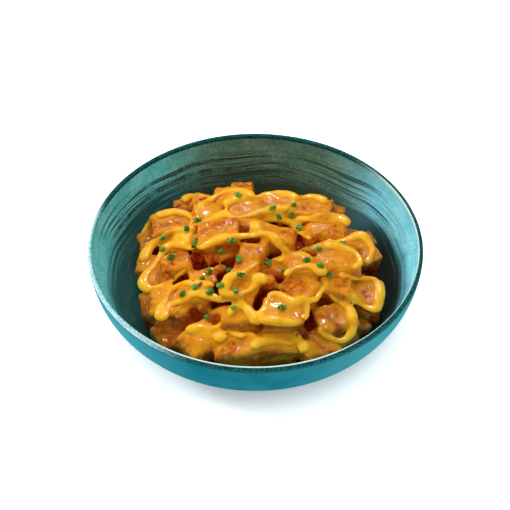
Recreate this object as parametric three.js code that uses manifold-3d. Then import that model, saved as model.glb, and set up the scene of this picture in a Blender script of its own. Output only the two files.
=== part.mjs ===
// A deep coupe bowl of stoneware holding a mound of diced fried potato, with thick cheese
// sauce trailed over it and snipped chives on top. Millimetres, +Z up. The origin is on the
// bowl's axis, at the level of the table; -Y is the side that faces the diner.
import * as THREE from "three";
import { ConvexGeometry } from "three/addons/geometries/ConvexGeometry.js";
import { mergeVertices } from "three/addons/utils/BufferGeometryUtils.js";
import Module from "manifold-3d";

// ---------- driving dimensions ----------
const RIM_RADIUS = 105; // outside of the rim
const RIM_HEIGHT = 52; // top of the rim above the table
const WALL = 3; // thickness of the wall at the rim
const WALL_CENTRE_RADIUS = 60; // where the flat floor ends and the wall starts to curve up
const FLOOR_TOP = 7.5; // inside floor above the table
const FLOOR_UNDER = 3; // underside of the floor above the table
const FOOT_RADIUS = 57; // outside of the foot ring
const FOOT_WIDTH = 6;
const RECESS = 2.2; // how far the underside inside the foot ring stands off the table
const LIP_ROUND = 1.2; // height over which the lip is rounded off
const LIP_STEPS = 4;
const OUTSIDE_STEPS = 7; // facets of the wall from rim to foot
const INSIDE_STEPS = 8;
const TURN_STEPS = 52; // facets round the bowl

const MOUND_X = 3; // the mound sits a little off the bowl's axis, to the right and the front
const MOUND_Y = -4;
const MOUND_RADIUS = 77;
const MOUND_TOP = 53; // crown of the mound above the table
const MOUND_FALL = 19; // how much lower its shoulder is than its crown
const CORE_DEPTH = 15; // the solid core lies this far under the tops of the dice
const CORE_RADIUS = 63;
const GAP = 0.6; // clearance that keeps the food off the glaze

const DIE_WIDTHS = { large: 25.5, middling: 20.5, small: 16.5 };
const DIE_DEPTH_SHARE = 0.86; // a die is a little shorter front to back than it is wide
const DIE_HEIGHT = 23;
const DIE_SHORTEST = 9; // a die that meets the bowl is cut shorter, down to this
const DIE_EDGE = 2; // radius of its edges
const DIE_TAPER = 0.07; // a knife cut is this much out of square
const LEAN_SHARE = 0.7; // share of the mound's slope a die takes up; next to the wall it stands upright
const LEAN_JITTER = 7; // degrees

const ROPE_RADIUS = 3.2; // half the width of a trail of cheese sauce
const ROPE_FLATNESS = 0.55; // its height against its width
const ROPE_UNEVENNESS = 0.16; // how much its width wanders
const ROPE_TIP = 0.5; // width of its ends against the rest
const ROPE_SIDES = 6;
const ROPE_STEP = 12; // spacing of its sections along the trail
const ROPE_REACH = 8; // it bridges gaps up to twice this wide
const ROPE_RISE = 0.15; // how far its centreline lies above the dice, as a share of its radius

const CHIVE_RADIUS = 1.35;
const CHIVE_LENGTHS = [3.2, 5.2]; // shortest and longest

// Where the dice lie, seen from above: [x, y of the top face, turn in degrees, lift over the mound].
const DICE = {
  large: [
    [-15, 52, 0, 2], [14, 45, 3, 1], [36, 43, -12, 2], [45, 27, -6, -1], [-24, 10, 3, 3],
    [52, -8, 8, 2], [66, 5, 35, 0], [-53, -37, -6, 0], [17, -53, 2, 3], [13, -66, 2, -3],
    [49, -48, 22, -3], [67, -26, -8, -1], [-34, -65, 42, -1], [-53, -57, 32, -3],
    [39, -66, 24, -4], [-13, -67, 4, -4], [-54, 32, 8, 1],
  ],
  middling: [
    [15, 6, -14, 3], [-50, -8, 10, 1], [-30, 35, 8, 2], [-6, 37, -3, 2], [29, -17, 6, 0],
    [-8, -35, -24, 2], [-37, -34, 8, 0], [27, -32, -30, -2], [-11, -53, 4, 0], [-66, 25, 14, -4],
    [-66, 2, -6, -4], [-62, -31, 12, -4], [-37, -44, 20, -9],
  ],
  small: [
    [-21, 0, 0, -3], [-2, -8, -8, 2], [-9, 64, 0, 3], [-46, 58, 10, -2], [-33, 56, -14, -1],
    [50, 46, -20, 0], [58, 24, -10, -4], [-7, 22, 4, -1], [5, 10, -10, 3], [-6, -22, -15, 1],
    [51, -28, -8, 0], [65, -45, 28, -7], [56, -56, 30, -8], [-33, -22, 12, -3], [13, -17, 10, -5],
    [69, 25, 20, -4], [-63, -14, -6, -3],
  ],
};

// The trails of cheese sauce, each along the few bends of its own pass of the bottle, from above.
const TRAILS = [
  [[-36, 37], [-31, 44], [-24, 52], [-16, 56], [-7, 54], [-1, 50]],
  [[-20, 37], [-15, 41], [-7, 44], [0, 47], [6, 51], [14, 52], [22, 50], [28, 46]],
  [
    [-40, 22], [-34, 25], [-28, 27], [-23, 29], [-19, 31], [-12, 25], [-3, 28], [6, 33], [13, 36],
    [20, 37], [24, 43], [29, 48], [36, 51], [42, 49], [47, 45],
  ],
  [[-74, 28], [-70, 35], [-66, 38], [-60, 39], [-52, 41], [-44, 39], [-40, 33], [-41, 27]],
  [[26, 32], [32, 30], [39, 31], [48, 33], [56, 32], [59, 26]],
  [[1, 5], [0, 14], [3, 27], [9, 29], [16, 30], [23, 30], [28, 24], [32, 15], [35, 10]],
  [[-71, 1], [-69, 12], [-64, 19], [-59, 21], [-53, 23], [-46, 24], [-37, 24]],
  [
    [0, 4], [-10, 3], [-17, 2], [-25, 1], [-30, -1], [-33, -3], [-40, 10], [-48, 13], [-54, 13],
    [-58, 9], [-62, 1], [-66, -7], [-69, -13], [-70, -19], [-66, -24], [-59, -23], [-52, -19],
    [-48, -16], [-43, -15],
  ],
  [[-61, 14], [-56, 20], [-50, 21], [-43, 18], [-40, 12]],
  [[-3, 2], [4, 4], [10, 2], [15, -2], [22, -5], [28, 5], [35, 9], [42, 11], [48, 14], [51, 15]],
  [[42, 0], [49, 2], [56, 0], [62, -3], [65, -8], [64, -14], [59, -17]],
  [[51, 12], [57, 12], [63, 17], [68, 21], [73, 17], [77, 7], [78, 1], [75, -7]],
  [[10, -12], [15, -11], [22, -9], [28, -7], [33, -12], [34, -17]],
  [[18, -28], [21, -24], [26, -21], [33, -19], [39, -22], [44, -25]],
  [[-58, -53], [-58, -45], [-55, -37], [-52, -30], [-45, -28], [-34, -30], [-25, -32]],
  [
    [-58, -53], [-55, -49], [-50, -41], [-44, -41], [-37, -37], [-28, -40], [-21, -43],
    [-12, -43], [-6, -49], [-1, -58], [3, -62],
  ],
  [
    [2, -18], [-3, -23], [-9, -29], [-15, -31], [-18, -36], [-19, -42], [-12, -43], [-6, -41],
    [-1, -37], [0, -32], [3, -30], [6, -35],
  ],
  [
    [0, -60], [4, -55], [7, -49], [10, -41], [15, -42], [22, -47], [30, -43], [37, -41],
    [40, -34], [44, -28],
  ],
  [
    [41, -23], [44, -29], [47, -34], [53, -38], [58, -43], [59, -53], [58, -59], [53, -64],
    [48, -64], [42, -61], [39, -57],
  ],
  [[3, -64], [7, -62], [15, -62], [25, -62], [30, -56], [31, -45]],
  [[-41, -63], [-39, -60], [-34, -58], [-26, -59], [-21, -58], [-16, -54], [-11, -47]],
  [[-25, -68], [-21, -65], [-15, -62], [-9, -65], [-3, -64], [1, -70]],
  [[-1, -76], [0, -72], [4, -70], [13, -69], [21, -70], [25, -68]],
  [[24, -62], [25, -66], [29, -71], [30, -76]],
  [[-48, 59], [-44, 63], [-38, 61], [-32, 58], [-28, 56]],
  [
    [51, -21], [56, -21], [66, -18], [74, -18], [77, -24], [76, -35], [74, -42], [68, -39],
    [63, -36], [58, -34], [54, -34],
  ],
];

// Where the snips of chive lie, from above.
const CHIVES = [
  [-59, 19], [-59, 9], [-44, 23], [-37, 25], [-37, 10], [-15, -1], [-22, -3], [-38, 3],
  [-10, -16], [-53, -6], [-29, -19], [24, 40], [11, 34], [15, 29], [23, 33], [28, 23], [7, -14],
  [19, -21], [32, -15], [40, -3], [55, 9], [46, -22], [40, -21], [-33, -27], [-37, -34],
  [-44, -38], [-28, -39], [-21, -38], [-12, -42], [-9, -31], [-13, -51], [-29, -49], [16, -53],
  [-11, 44], [-16, -11],
];

const COLOURS = { stoneware: 0x2f8a90, food: 0xe8a22e };

// ---------- shared helpers ----------
const wasm = await Module();
wasm.setup();

// Repeatable uneven numbers from 0 to 1, one for each whole number n.
function draw(n) {
  const s = Math.sin(n * 12.9898 + 78.233) * 43758.5453;
  return s - Math.floor(s);
}

const around = (n, spread) => (2 * draw(n) - 1) * spread;

function solidOf(geometry) {
  const bare = geometry.clone();
  bare.deleteAttribute("normal");
  bare.deleteAttribute("uv");
  const merged = mergeVertices(bare, 1e-3);
  return new wasm.Manifold(
    new wasm.Mesh({
      numProp: 3,
      vertProperties: merged.attributes.position.array,
      triVerts: new Uint32Array(merged.index.array),
    }),
  );
}

function geometryOf(solid) {
  const mesh = solid.getMesh();
  const geometry = new THREE.BufferGeometry();
  geometry.setAttribute("position", new THREE.BufferAttribute(mesh.vertProperties, 3));
  geometry.setIndex(new THREE.BufferAttribute(mesh.triVerts, 1));
  const flat = geometry.toNonIndexed();
  flat.computeVertexNormals();
  return flat;
}

// ---------- the bowl ----------
// One quarter of an ellipse from the rim (share 0) down to the edge of the flat floor (share 1).
function wallPoint(share, rimRadius, floorHeight) {
  const angle = (share * Math.PI) / 2;
  return new THREE.Vector2(
    WALL_CENTRE_RADIUS + (rimRadius - WALL_CENTRE_RADIUS) * Math.cos(angle),
    RIM_HEIGHT - (RIM_HEIGHT - floorHeight) * Math.sin(angle),
  );
}

// Height of the glaze inside the bowl at a distance from the axis.
function glazeHeight(radius) {
  if (radius <= WALL_CENTRE_RADIUS) return FLOOR_TOP;
  const reach = RIM_RADIUS - WALL - WALL_CENTRE_RADIUS;
  const share = Math.min(1, (radius - WALL_CENTRE_RADIUS) / reach);
  return RIM_HEIGHT - (RIM_HEIGHT - FLOOR_TOP) * Math.sqrt(1 - share * share);
}

function bowlGeometry() {
  const outside = [];
  for (let step = OUTSIDE_STEPS; step > 0; step--)
    outside.push(wallPoint(step / OUTSIDE_STEPS, RIM_RADIUS, FLOOR_UNDER));
  const inside = [];
  for (let step = 1; step <= INSIDE_STEPS; step++)
    inside.push(wallPoint(step / INSIDE_STEPS, RIM_RADIUS - WALL, FLOOR_TOP));
  const lip = [];
  for (let step = 0; step <= LIP_STEPS; step++) {
    const angle = (Math.PI * step) / LIP_STEPS;
    const radius = RIM_RADIUS - (WALL / 2) * (1 - Math.cos(angle));
    lip.push(new THREE.Vector2(radius, RIM_HEIGHT - LIP_ROUND * (1 - Math.sin(angle))));
  }
  const footInner = FOOT_RADIUS - FOOT_WIDTH;
  const profile = [
    new THREE.Vector2(0, RECESS),
    new THREE.Vector2(footInner - 2, RECESS),
    new THREE.Vector2(footInner, 0),
    new THREE.Vector2(FOOT_RADIUS, 0),
    new THREE.Vector2(FOOT_RADIUS + 1, FLOOR_UNDER - 0.4),
    ...outside,
    ...lip,
    ...inside,
    new THREE.Vector2(0, FLOOR_TOP),
  ];
  const lathe = new THREE.LatheGeometry(profile, TURN_STEPS);
  return lathe.rotateX(Math.PI / 2);
}

// ---------- the mound ----------
function moundHeight(x, y) {
  const share = Math.hypot(x - MOUND_X, y - MOUND_Y) / MOUND_RADIUS;
  return MOUND_TOP - MOUND_FALL * share * share;
}

// The core fills the heap under the dice, down to just over the glaze.
function coreGeometry() {
  const steps = 8;
  const offAxis = Math.hypot(MOUND_X, MOUND_Y);
  const under = [];
  const over = [];
  for (let i = 0; i <= steps; i++) {
    const radius = (CORE_RADIUS * i) / steps;
    under.push(new THREE.Vector2(radius, glazeHeight(radius + offAxis) + GAP));
    over.push(new THREE.Vector2(radius, moundHeight(MOUND_X + radius, MOUND_Y) - CORE_DEPTH));
  }
  const lathe = new THREE.LatheGeometry([...under, ...over.reverse()], 24);
  return lathe.rotateX(Math.PI / 2).translate(MOUND_X, MOUND_Y, 0);
}

// Every die as { centre, turn, size }: it leans with the mound and stops short of the glaze.
function layDice() {
  const laid = [];
  for (const [kind, rows] of Object.entries(DICE)) {
    for (const [x, y, turn, lift] of rows) {
      const n = 10 * laid.length;
      const width = DIE_WIDTHS[kind] * (1 + around(n, 0.07));
      const depth = width * DIE_DEPTH_SHARE * (1 + around(n + 1, 0.07));
      const outward = Math.hypot(x - MOUND_X, y - MOUND_Y) / MOUND_RADIUS;
      const slope = ((2 * MOUND_FALL) / MOUND_RADIUS ** 2) * LEAN_SHARE * (1 - outward ** 2);
      const lean = new THREE.Quaternion().setFromUnitVectors(
        new THREE.Vector3(0, 0, 1),
        new THREE.Vector3(slope * (x - MOUND_X), slope * (y - MOUND_Y), 1).normalize(),
      );
      const rock = new THREE.Quaternion().setFromEuler(
        new THREE.Euler(
          THREE.MathUtils.degToRad(around(n + 2, LEAN_JITTER)),
          THREE.MathUtils.degToRad(around(n + 3, LEAN_JITTER)),
          THREE.MathUtils.degToRad(turn),
        ),
      );
      const pose = lean.multiply(rock);
      const top = new THREE.Vector3(x, y, moundHeight(x, y) + lift);
      laid.push(fitDie({ top, pose, width, depth, height: DIE_HEIGHT, n }));
    }
  }
  return laid;
}

function dieCorners(die) {
  const corners = [];
  for (const u of [-0.5, 0.5])
    for (const v of [-0.5, 0.5])
      for (const w of [0, -1]) {
        const corner = new THREE.Vector3(u * die.width, v * die.depth, w * die.height);
        corners.push(corner.applyQuaternion(die.pose).add(die.top));
      }
  return corners;
}

function fitDie(die) {
  const clear = () =>
    dieCorners(die).every((c) => c.z > glazeHeight(Math.hypot(c.x, c.y)) + GAP);
  while (!clear() && die.height > DIE_SHORTEST) die.height -= 0.5;
  while (!clear()) die.top.multiply(new THREE.Vector3(0.98, 0.98, 1));
  return die;
}

// A die with its edges and corners bevelled, cut a little out of square.
function dieGeometry(die) {
  const half = new THREE.Vector3(die.width / 2, die.depth / 2, die.height / 2);
  const taperX = Math.abs(around(die.n + 4, DIE_TAPER));
  const taperY = Math.abs(around(die.n + 5, DIE_TAPER));
  const points = [];
  for (const sx of [-1, 1])
    for (const sy of [-1, 1])
      for (const sz of [-1, 1])
        for (const axis of ["x", "y", "z"]) {
          const inset = half.clone().subScalar(DIE_EDGE);
          inset[axis] = half[axis];
          const narrow = 0.5 - (sz * inset.z) / die.height;
          inset.x *= 1 - taperX * narrow;
          inset.y *= 1 - taperY * narrow;
          points.push(inset.multiply(new THREE.Vector3(sx, sy, sz)));
        }
  return new ConvexGeometry(points)
    .translate(0, 0, -half.z)
    .applyQuaternion(die.pose)
    .translate(die.top.x, die.top.y, die.top.z);
}

// Height of the highest die over a point of the plan, or of the core where no die lies.
function heapHeight(dice, x, y) {
  let highest = moundHeight(x, y) - CORE_DEPTH;
  for (const die of dice) {
    const back = die.pose.clone().invert();
    const from = new THREE.Vector3(x, y, 0).sub(die.top).applyQuaternion(back);
    const along = new THREE.Vector3(0, 0, 1).applyQuaternion(back);
    let [enter, leave] = [-Infinity, Infinity];
    const slabs = [
      [from.x, along.x, -die.width / 2, die.width / 2],
      [from.y, along.y, -die.depth / 2, die.depth / 2],
      [from.z, along.z, -die.height, 0],
    ];
    for (const [start, rate, low, high] of slabs) {
      const a = (low - start) / rate;
      const b = (high - start) / rate;
      enter = Math.max(enter, Math.min(a, b));
      leave = Math.min(leave, Math.max(a, b));
    }
    if (enter < leave) highest = Math.max(highest, leave);
  }
  return highest;
}

// A trail as a curve in space: it lies on the dice, bridges narrow gaps and dips into wide ones.
function drapeTrail(dice, bends) {
  const plan = new THREE.CatmullRomCurve3(bends.map(([x, y]) => new THREE.Vector3(x, y, 0)));
  const count = Math.max(4, Math.ceil(plan.getLength() / 2.5));
  const points = plan.getSpacedPoints(count);
  const spacing = plan.getLength() / count;
  const reach = Math.round(ROPE_REACH / spacing);
  const ground = points.map((p) => heapHeight(dice, p.x, p.y));
  const window = (list, i, pick) => pick(...list.slice(Math.max(0, i - reach), i + reach + 1));
  const dilated = ground.map((_, i) => window(ground, i, Math.max));
  const closed = dilated.map((_, i) => window(dilated, i, Math.min));
  const mean = (list) => list.reduce((a, b) => a + b, 0) / list.length;
  const smooth = closed.map((_, i) => mean(closed.slice(Math.max(0, i - 2), i + 3)));
  return new THREE.CatmullRomCurve3(
    points.map((p, i) => {
      const overGlaze = glazeHeight(Math.hypot(p.x, p.y) + ROPE_RADIUS) + GAP + ROPE_RADIUS;
      return p.clone().setZ(Math.max(smooth[i] + ROPE_RISE * ROPE_RADIUS, overGlaze));
    }),
  );
}

// A flattened tube round the curve, its broad side always up, tapering to a blunt tip at each end.
function trailGeometry(curve, number) {
  const rings = Math.max(4, Math.ceil(curve.getLength() / ROPE_STEP));
  const centres = curve.getSpacedPoints(rings);
  const positions = [];
  const index = [];
  centres.forEach((centre, i) => {
    const before = centres[Math.max(0, i - 1)];
    const after = centres[Math.min(rings, i + 1)];
    const along = after.clone().sub(before).normalize();
    const across = new THREE.Vector3(-along.y, along.x, 0).normalize();
    const up = along.clone().cross(across);
    const tip = i === 0 || i === rings ? ROPE_TIP : 1;
    const radius = ROPE_RADIUS * tip * (1 + around(900 + 50 * number + i, ROPE_UNEVENNESS));
    for (let k = 0; k < ROPE_SIDES; k++) {
      const angle = (2 * Math.PI * k) / ROPE_SIDES;
      const at = centre
        .clone()
        .addScaledVector(across, radius * Math.cos(angle))
        .addScaledVector(up, radius * ROPE_FLATNESS * Math.sin(angle));
      positions.push(at.x, at.y, at.z);
      const next = (k + 1) % ROPE_SIDES;
      const [a, b] = [i * ROPE_SIDES + k, i * ROPE_SIDES + next];
      if (i < rings) index.push(a, b, b + ROPE_SIDES, a, b + ROPE_SIDES, a + ROPE_SIDES);
    }
  });
  for (let k = 1; k < ROPE_SIDES - 1; k++) {
    const last = rings * ROPE_SIDES;
    index.push(0, k + 1, k, last, last + k, last + k + 1);
  }
  const geometry = new THREE.BufferGeometry();
  geometry.setAttribute("position", new THREE.Float32BufferAttribute(positions, 3));
  return geometry.setIndex(index);
}

// Top of whatever lies highest at a point of the plan, a trail of sauce or a die.
function surfaceHeight(dice, curves, x, y) {
  let highest = heapHeight(dice, x, y);
  for (const curve of curves)
    for (const p of curve.getSpacedPoints(Math.ceil(curve.getLength() / 2)))
      if (Math.hypot(p.x - x, p.y - y) < 0.7 * ROPE_RADIUS)
        highest = Math.max(highest, p.z + 0.8 * ROPE_RADIUS * ROPE_FLATNESS);
  return highest;
}

// Snips of chive, pressed a little into the surface they fell on.
function chiveGeometries(dice, curves) {
  return CHIVES.map(([x, y], i) => {
    const length = THREE.MathUtils.lerp(CHIVE_LENGTHS[0], CHIVE_LENGTHS[1], draw(3000 + i));
    const z = surfaceHeight(dice, curves, x, y) + 0.3 * CHIVE_RADIUS;
    return new THREE.CylinderGeometry(CHIVE_RADIUS, CHIVE_RADIUS, length, 5)
      .rotateX(THREE.MathUtils.degToRad(around(3200 + i, 12)))
      .rotateZ(Math.PI * (draw(3100 + i) - 0.5))
      .translate(x, y, z);
  });
}

function buildHeap() {
  const dice = layDice();
  const curves = TRAILS.map((bends) => drapeTrail(dice, bends));
  const pieces = [
    ...dice.map(dieGeometry),
    ...curves.map(trailGeometry),
    ...chiveGeometries(dice, curves),
  ];
  const heap = pieces.reduce((sum, piece) => sum.add(solidOf(piece)), solidOf(coreGeometry()));
  return outerShell(heap);
}

// The heap without the pockets that its pieces close off between them: those are filled.
function outerShell(heap) {
  const shells = heap.decompose();
  return shells.reduce((largest, shell) => (shell.volume() > largest.volume() ? shell : largest));
}

// ---------- the group ----------
function named(name, geometry, colour, roughness) {
  const mesh = new THREE.Mesh(
    geometry,
    new THREE.MeshStandardMaterial({ color: colour, roughness, metalness: 0 }),
  );
  mesh.name = name;
  return mesh;
}

const group = new THREE.Group();
group.add(named("bowl", bowlGeometry(), COLOURS.stoneware, 0.35));
group.add(named("potato_heap", geometryOf(buildHeap()), COLOURS.food, 0.4));
export default group;
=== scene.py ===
# %% [markdown]
# # A bowl of cheese fries
# The object is a deep round stoneware bowl with a mound of diced fried potato in it. Thick
# cheese sauce is trailed over the dice, and snipped chives lie on top. This lesson dresses the
# plain solids of that object: the bowl is turned again with a fine profile and a brushed glaze,
# and the mound is built up as a cook would do it, from the dice to the sauce to the herbs.
#
# Everything is in metres, with Z up and the diner on the -Y side. The plain solids are loaded
# first, because every new piece takes its place from them.

# %% Load the plain solids and keep their outer box
import itertools
import math

import bpy
import numpy as np
from mathutils import Matrix, Quaternion, Vector
from mathutils.bvhtree import BVHTree


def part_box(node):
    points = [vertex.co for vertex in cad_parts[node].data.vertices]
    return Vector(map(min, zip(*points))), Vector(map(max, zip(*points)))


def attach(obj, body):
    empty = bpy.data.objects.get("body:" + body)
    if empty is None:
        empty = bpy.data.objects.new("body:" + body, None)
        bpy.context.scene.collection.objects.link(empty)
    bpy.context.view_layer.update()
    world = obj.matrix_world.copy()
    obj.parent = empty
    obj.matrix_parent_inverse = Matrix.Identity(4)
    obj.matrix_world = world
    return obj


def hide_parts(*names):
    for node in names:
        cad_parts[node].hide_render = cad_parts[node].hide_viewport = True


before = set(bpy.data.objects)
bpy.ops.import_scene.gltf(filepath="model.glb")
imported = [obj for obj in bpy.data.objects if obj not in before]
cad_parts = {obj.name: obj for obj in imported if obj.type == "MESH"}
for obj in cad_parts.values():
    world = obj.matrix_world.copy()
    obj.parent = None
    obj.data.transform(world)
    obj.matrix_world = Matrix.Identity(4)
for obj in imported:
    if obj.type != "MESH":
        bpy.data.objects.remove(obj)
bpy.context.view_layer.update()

MM = 0.001
for node in ("bowl", "potato_heap"):
    low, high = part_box(node)
    print(node, "box in mm", [round(v / MM, 1) for v in (*low, *high)])

# %% [markdown]
# ## Small helpers for working by hand
# Blender's operators act on whatever is selected, and the loaded solids arrive selected. So each
# step starts with nothing selected, picks its own piece, and moves that piece's origin to the
# bowl's own origin at the end.

# %% Helpers for selecting and finishing a piece
def select_only(*pieces):
    bpy.ops.object.select_all(action="DESELECT")
    for piece in pieces:
        piece.select_set(True)
    bpy.context.view_layer.objects.active = pieces[0]


def switch_to(mode):
    bpy.ops.object.mode_set(mode=mode)


def join(pieces):
    select_only(*pieces)
    bpy.ops.object.join()
    return pieces[0]


def stretch(x, y, z):
    return Matrix.Diagonal((x, y, z, 1))


def finish_piece(piece, name):
    select_only(piece)
    bpy.ops.object.transform_apply(location=True, rotation=True, scale=True)
    bpy.ops.object.shade_smooth()
    piece.name = name
    piece.data.name = name
    print(name, len(piece.data.vertices), "points", len(piece.data.polygons), "faces")
    return piece


def add_and_apply(piece, kind, **settings):
    select_only(piece)
    modifier = piece.modifiers.new(kind.lower(), kind)
    for key, value in settings.items():
        setattr(modifier, key, value)
    bpy.ops.object.modifier_apply(modifier=modifier.name)


def points_of(piece):
    flat = np.empty(3 * len(piece.data.vertices))
    piece.data.vertices.foreach_get("co", flat)
    return flat.reshape(-1, 3)


def paint_points(piece, name, values):
    layer = piece.data.attributes.new(name, "FLOAT", "POINT")
    layer.data.foreach_set("value", np.ascontiguousarray(values, dtype=np.float32))
    print(piece.name, name, "mean", round(float(np.mean(values)), 3))


def smooth_step(low, high, values):
    t = np.clip((values - low) / (high - low), 0, 1)
    return t * t * (3 - 2 * t)


# %% [markdown]
# ## Uneven numbers that never change
# Food is uneven, yet the same scene must come out every time. This little function turns any
# whole number into an uneven number from 0 to 1, and it is the one that spread the plain dice, so
# the fine dice land in the same places.

# %% Repeatable uneven numbers
def draw(n):
    s = math.sin(n * 12.9898 + 78.233) * 43758.5453
    return s - math.floor(s)


def around(n, spread):
    return (2 * draw(n) - 1) * spread


print("first draws", [round(draw(n), 3) for n in range(4)])

# %% [markdown]
# ## The bowl
# A coupe bowl has no flat rim: its wall sweeps up in one curve, like a quarter of an ellipse,
# from a flat floor to a thin lip. It could be spun from a drawn section. Here it grows ring by
# ring, as a potter pulls up a wall: a circle is extruded, moved up and widened, over and over,
# from the underside round the foot, up the outside, over the lip and down to the floor. So each
# ring can be checked against the section's own numbers.

# %% The bowl's section, in millimetres
RIM_RADIUS, RIM_HEIGHT, WALL = 105, 52, 3
WALL_CENTRE_RADIUS, FLOOR_TOP, FLOOR_UNDER = 60, 7.5, 3
FOOT_RADIUS, FOOT_WIDTH, RECESS = 57, 6, 2.2
LIP_STEPS, LIP_ROUND = 8, 1.2
OUTSIDE_STEPS, INSIDE_STEPS, BOWL_TURNS = 22, 24, 144


def wall_point(share, rim_radius, floor_height):
    angle = share * math.pi / 2
    return (
        WALL_CENTRE_RADIUS + (rim_radius - WALL_CENTRE_RADIUS) * math.cos(angle),
        RIM_HEIGHT - (RIM_HEIGHT - floor_height) * math.sin(angle),
    )


def glaze_height(radius):
    if radius <= WALL_CENTRE_RADIUS:
        return FLOOR_TOP
    share = min(1, (radius - WALL_CENTRE_RADIUS) / (RIM_RADIUS - WALL - WALL_CENTRE_RADIUS))
    return RIM_HEIGHT - (RIM_HEIGHT - FLOOR_TOP) * math.sqrt(1 - share * share)


foot_inner = FOOT_RADIUS - FOOT_WIDTH
bowl_section = [(20, RECESS), (foot_inner - 2, RECESS), (foot_inner - 0.6, 0.5), (foot_inner, 0)]
bowl_section += [(FOOT_RADIUS, 0), (FOOT_RADIUS + 0.7, 0.6), (FOOT_RADIUS + 1, RECESS)]
for step in range(OUTSIDE_STEPS, 0, -1):
    bowl_section.append(wall_point(step / OUTSIDE_STEPS, RIM_RADIUS, FLOOR_UNDER))
for step in range(LIP_STEPS + 1):
    angle = math.pi * step / LIP_STEPS
    lip_radius = RIM_RADIUS - WALL / 2 + WALL / 2 * math.cos(angle)
    bowl_section.append((lip_radius, RIM_HEIGHT - LIP_ROUND + LIP_ROUND * math.sin(angle)))
for step in range(1, INSIDE_STEPS + 1):
    bowl_section.append(wall_point(step / INSIDE_STEPS, RIM_RADIUS - WALL, FLOOR_TOP))
bowl_section += [(40, FLOOR_TOP), (20, FLOOR_TOP)]
print(len(bowl_section), "rings")


# %% Grow a round piece ring by ring
NEAR_ENOUGH = 1e-5


def close_ring(radius, height):
    """Selects the ring at that radius and height, and draws it together on the axis."""
    bpy.ops.mesh.select_all(action="DESELECT")
    switch_to("OBJECT")
    mesh = bpy.context.object.data
    for point in mesh.vertices:
        off = abs(math.hypot(point.co.x, point.co.y) - radius * MM)
        point.select = off < NEAR_ENOUGH and abs(point.co.z - height * MM) < NEAR_ENOUGH
    switch_to("EDIT")
    bpy.ops.mesh.extrude_region_move(TRANSFORM_OT_translate={"value": (0, 0, 0)})
    bpy.ops.mesh.merge(type="CENTER")


def grow_rings(section, turns):
    (radius, height), *rest = section
    bpy.ops.object.select_all(action="DESELECT")
    bpy.ops.mesh.primitive_circle_add(vertices=turns, radius=radius * MM)
    switch_to("EDIT")
    bpy.ops.transform.translate(value=(0, 0, height * MM))
    for next_radius, next_height in rest:
        rise = (0, 0, (next_height - height) * MM)
        bpy.ops.mesh.extrude_region_move(TRANSFORM_OT_translate={"value": rise})
        widen = next_radius / radius
        bpy.ops.transform.resize(value=(widen, widen, 1), center_override=(0, 0, 0))
        radius, height = next_radius, next_height
    close_ring(*section[-1])
    close_ring(*section[0])
    bpy.ops.mesh.select_all(action="SELECT")
    bpy.ops.mesh.remove_doubles(threshold=NEAR_ENOUGH / 10)
    bpy.ops.mesh.normals_make_consistent(inside=False)
    switch_to("OBJECT")
    return bpy.context.object


bowl = finish_piece(grow_rings(bowl_section, BOWL_TURNS), "stoneware_bowl")
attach(bowl, "root")
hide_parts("bowl")

# %% [markdown]
# ## Which side of the wall is inside
# The glaze inside the bowl is brushed in dark rings, and the outside is plain. The pattern needs
# to know on which side of the wall a point lies. That could be told from the direction it faces,
# but near the lip directions turn fast, so each point carries a mark of its own instead: the wall's
# two curves are worked out at its height, and the nearer one tells the side.

# %% Mark the points of the inner glaze
bowl_points = points_of(bowl) / MM
bowl_radius = np.hypot(bowl_points[:, 0], bowl_points[:, 1])
below_rim = np.clip(RIM_HEIGHT - bowl_points[:, 2], 0, None)


def curve_radius(rim_radius, floor_height):
    share = below_rim / (RIM_HEIGHT - floor_height)
    across = rim_radius - WALL_CENTRE_RADIUS
    return WALL_CENTRE_RADIUS + across * np.sqrt(np.clip(1 - share**2, 0, 1))


from_inner = np.abs(bowl_radius - curve_radius(RIM_RADIUS - WALL, FLOOR_TOP))
from_outer = np.abs(bowl_radius - curve_radius(RIM_RADIUS, FLOOR_UNDER))
is_inside = np.where(
    bowl_radius > WALL_CENTRE_RADIUS + 1,
    from_inner < from_outer,
    bowl_points[:, 2] > (FLOOR_TOP + FLOOR_UNDER) / 2,
)
paint_points(bowl, "inside", is_inside.astype(float))

# %% [markdown]
# ## Where the dice lie
# The mound is wide and low, so its surface is a shallow dome. Each die has a place on it, seen
# from above, a turn, and a lift that lets it stand proud or sink. In the middle it leans about two
# thirds as much as the dome does, and near the wall, which holds it, it stands upright. Dice near
# the wall are cut shorter, so that none of them cuts into the bowl.

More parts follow.
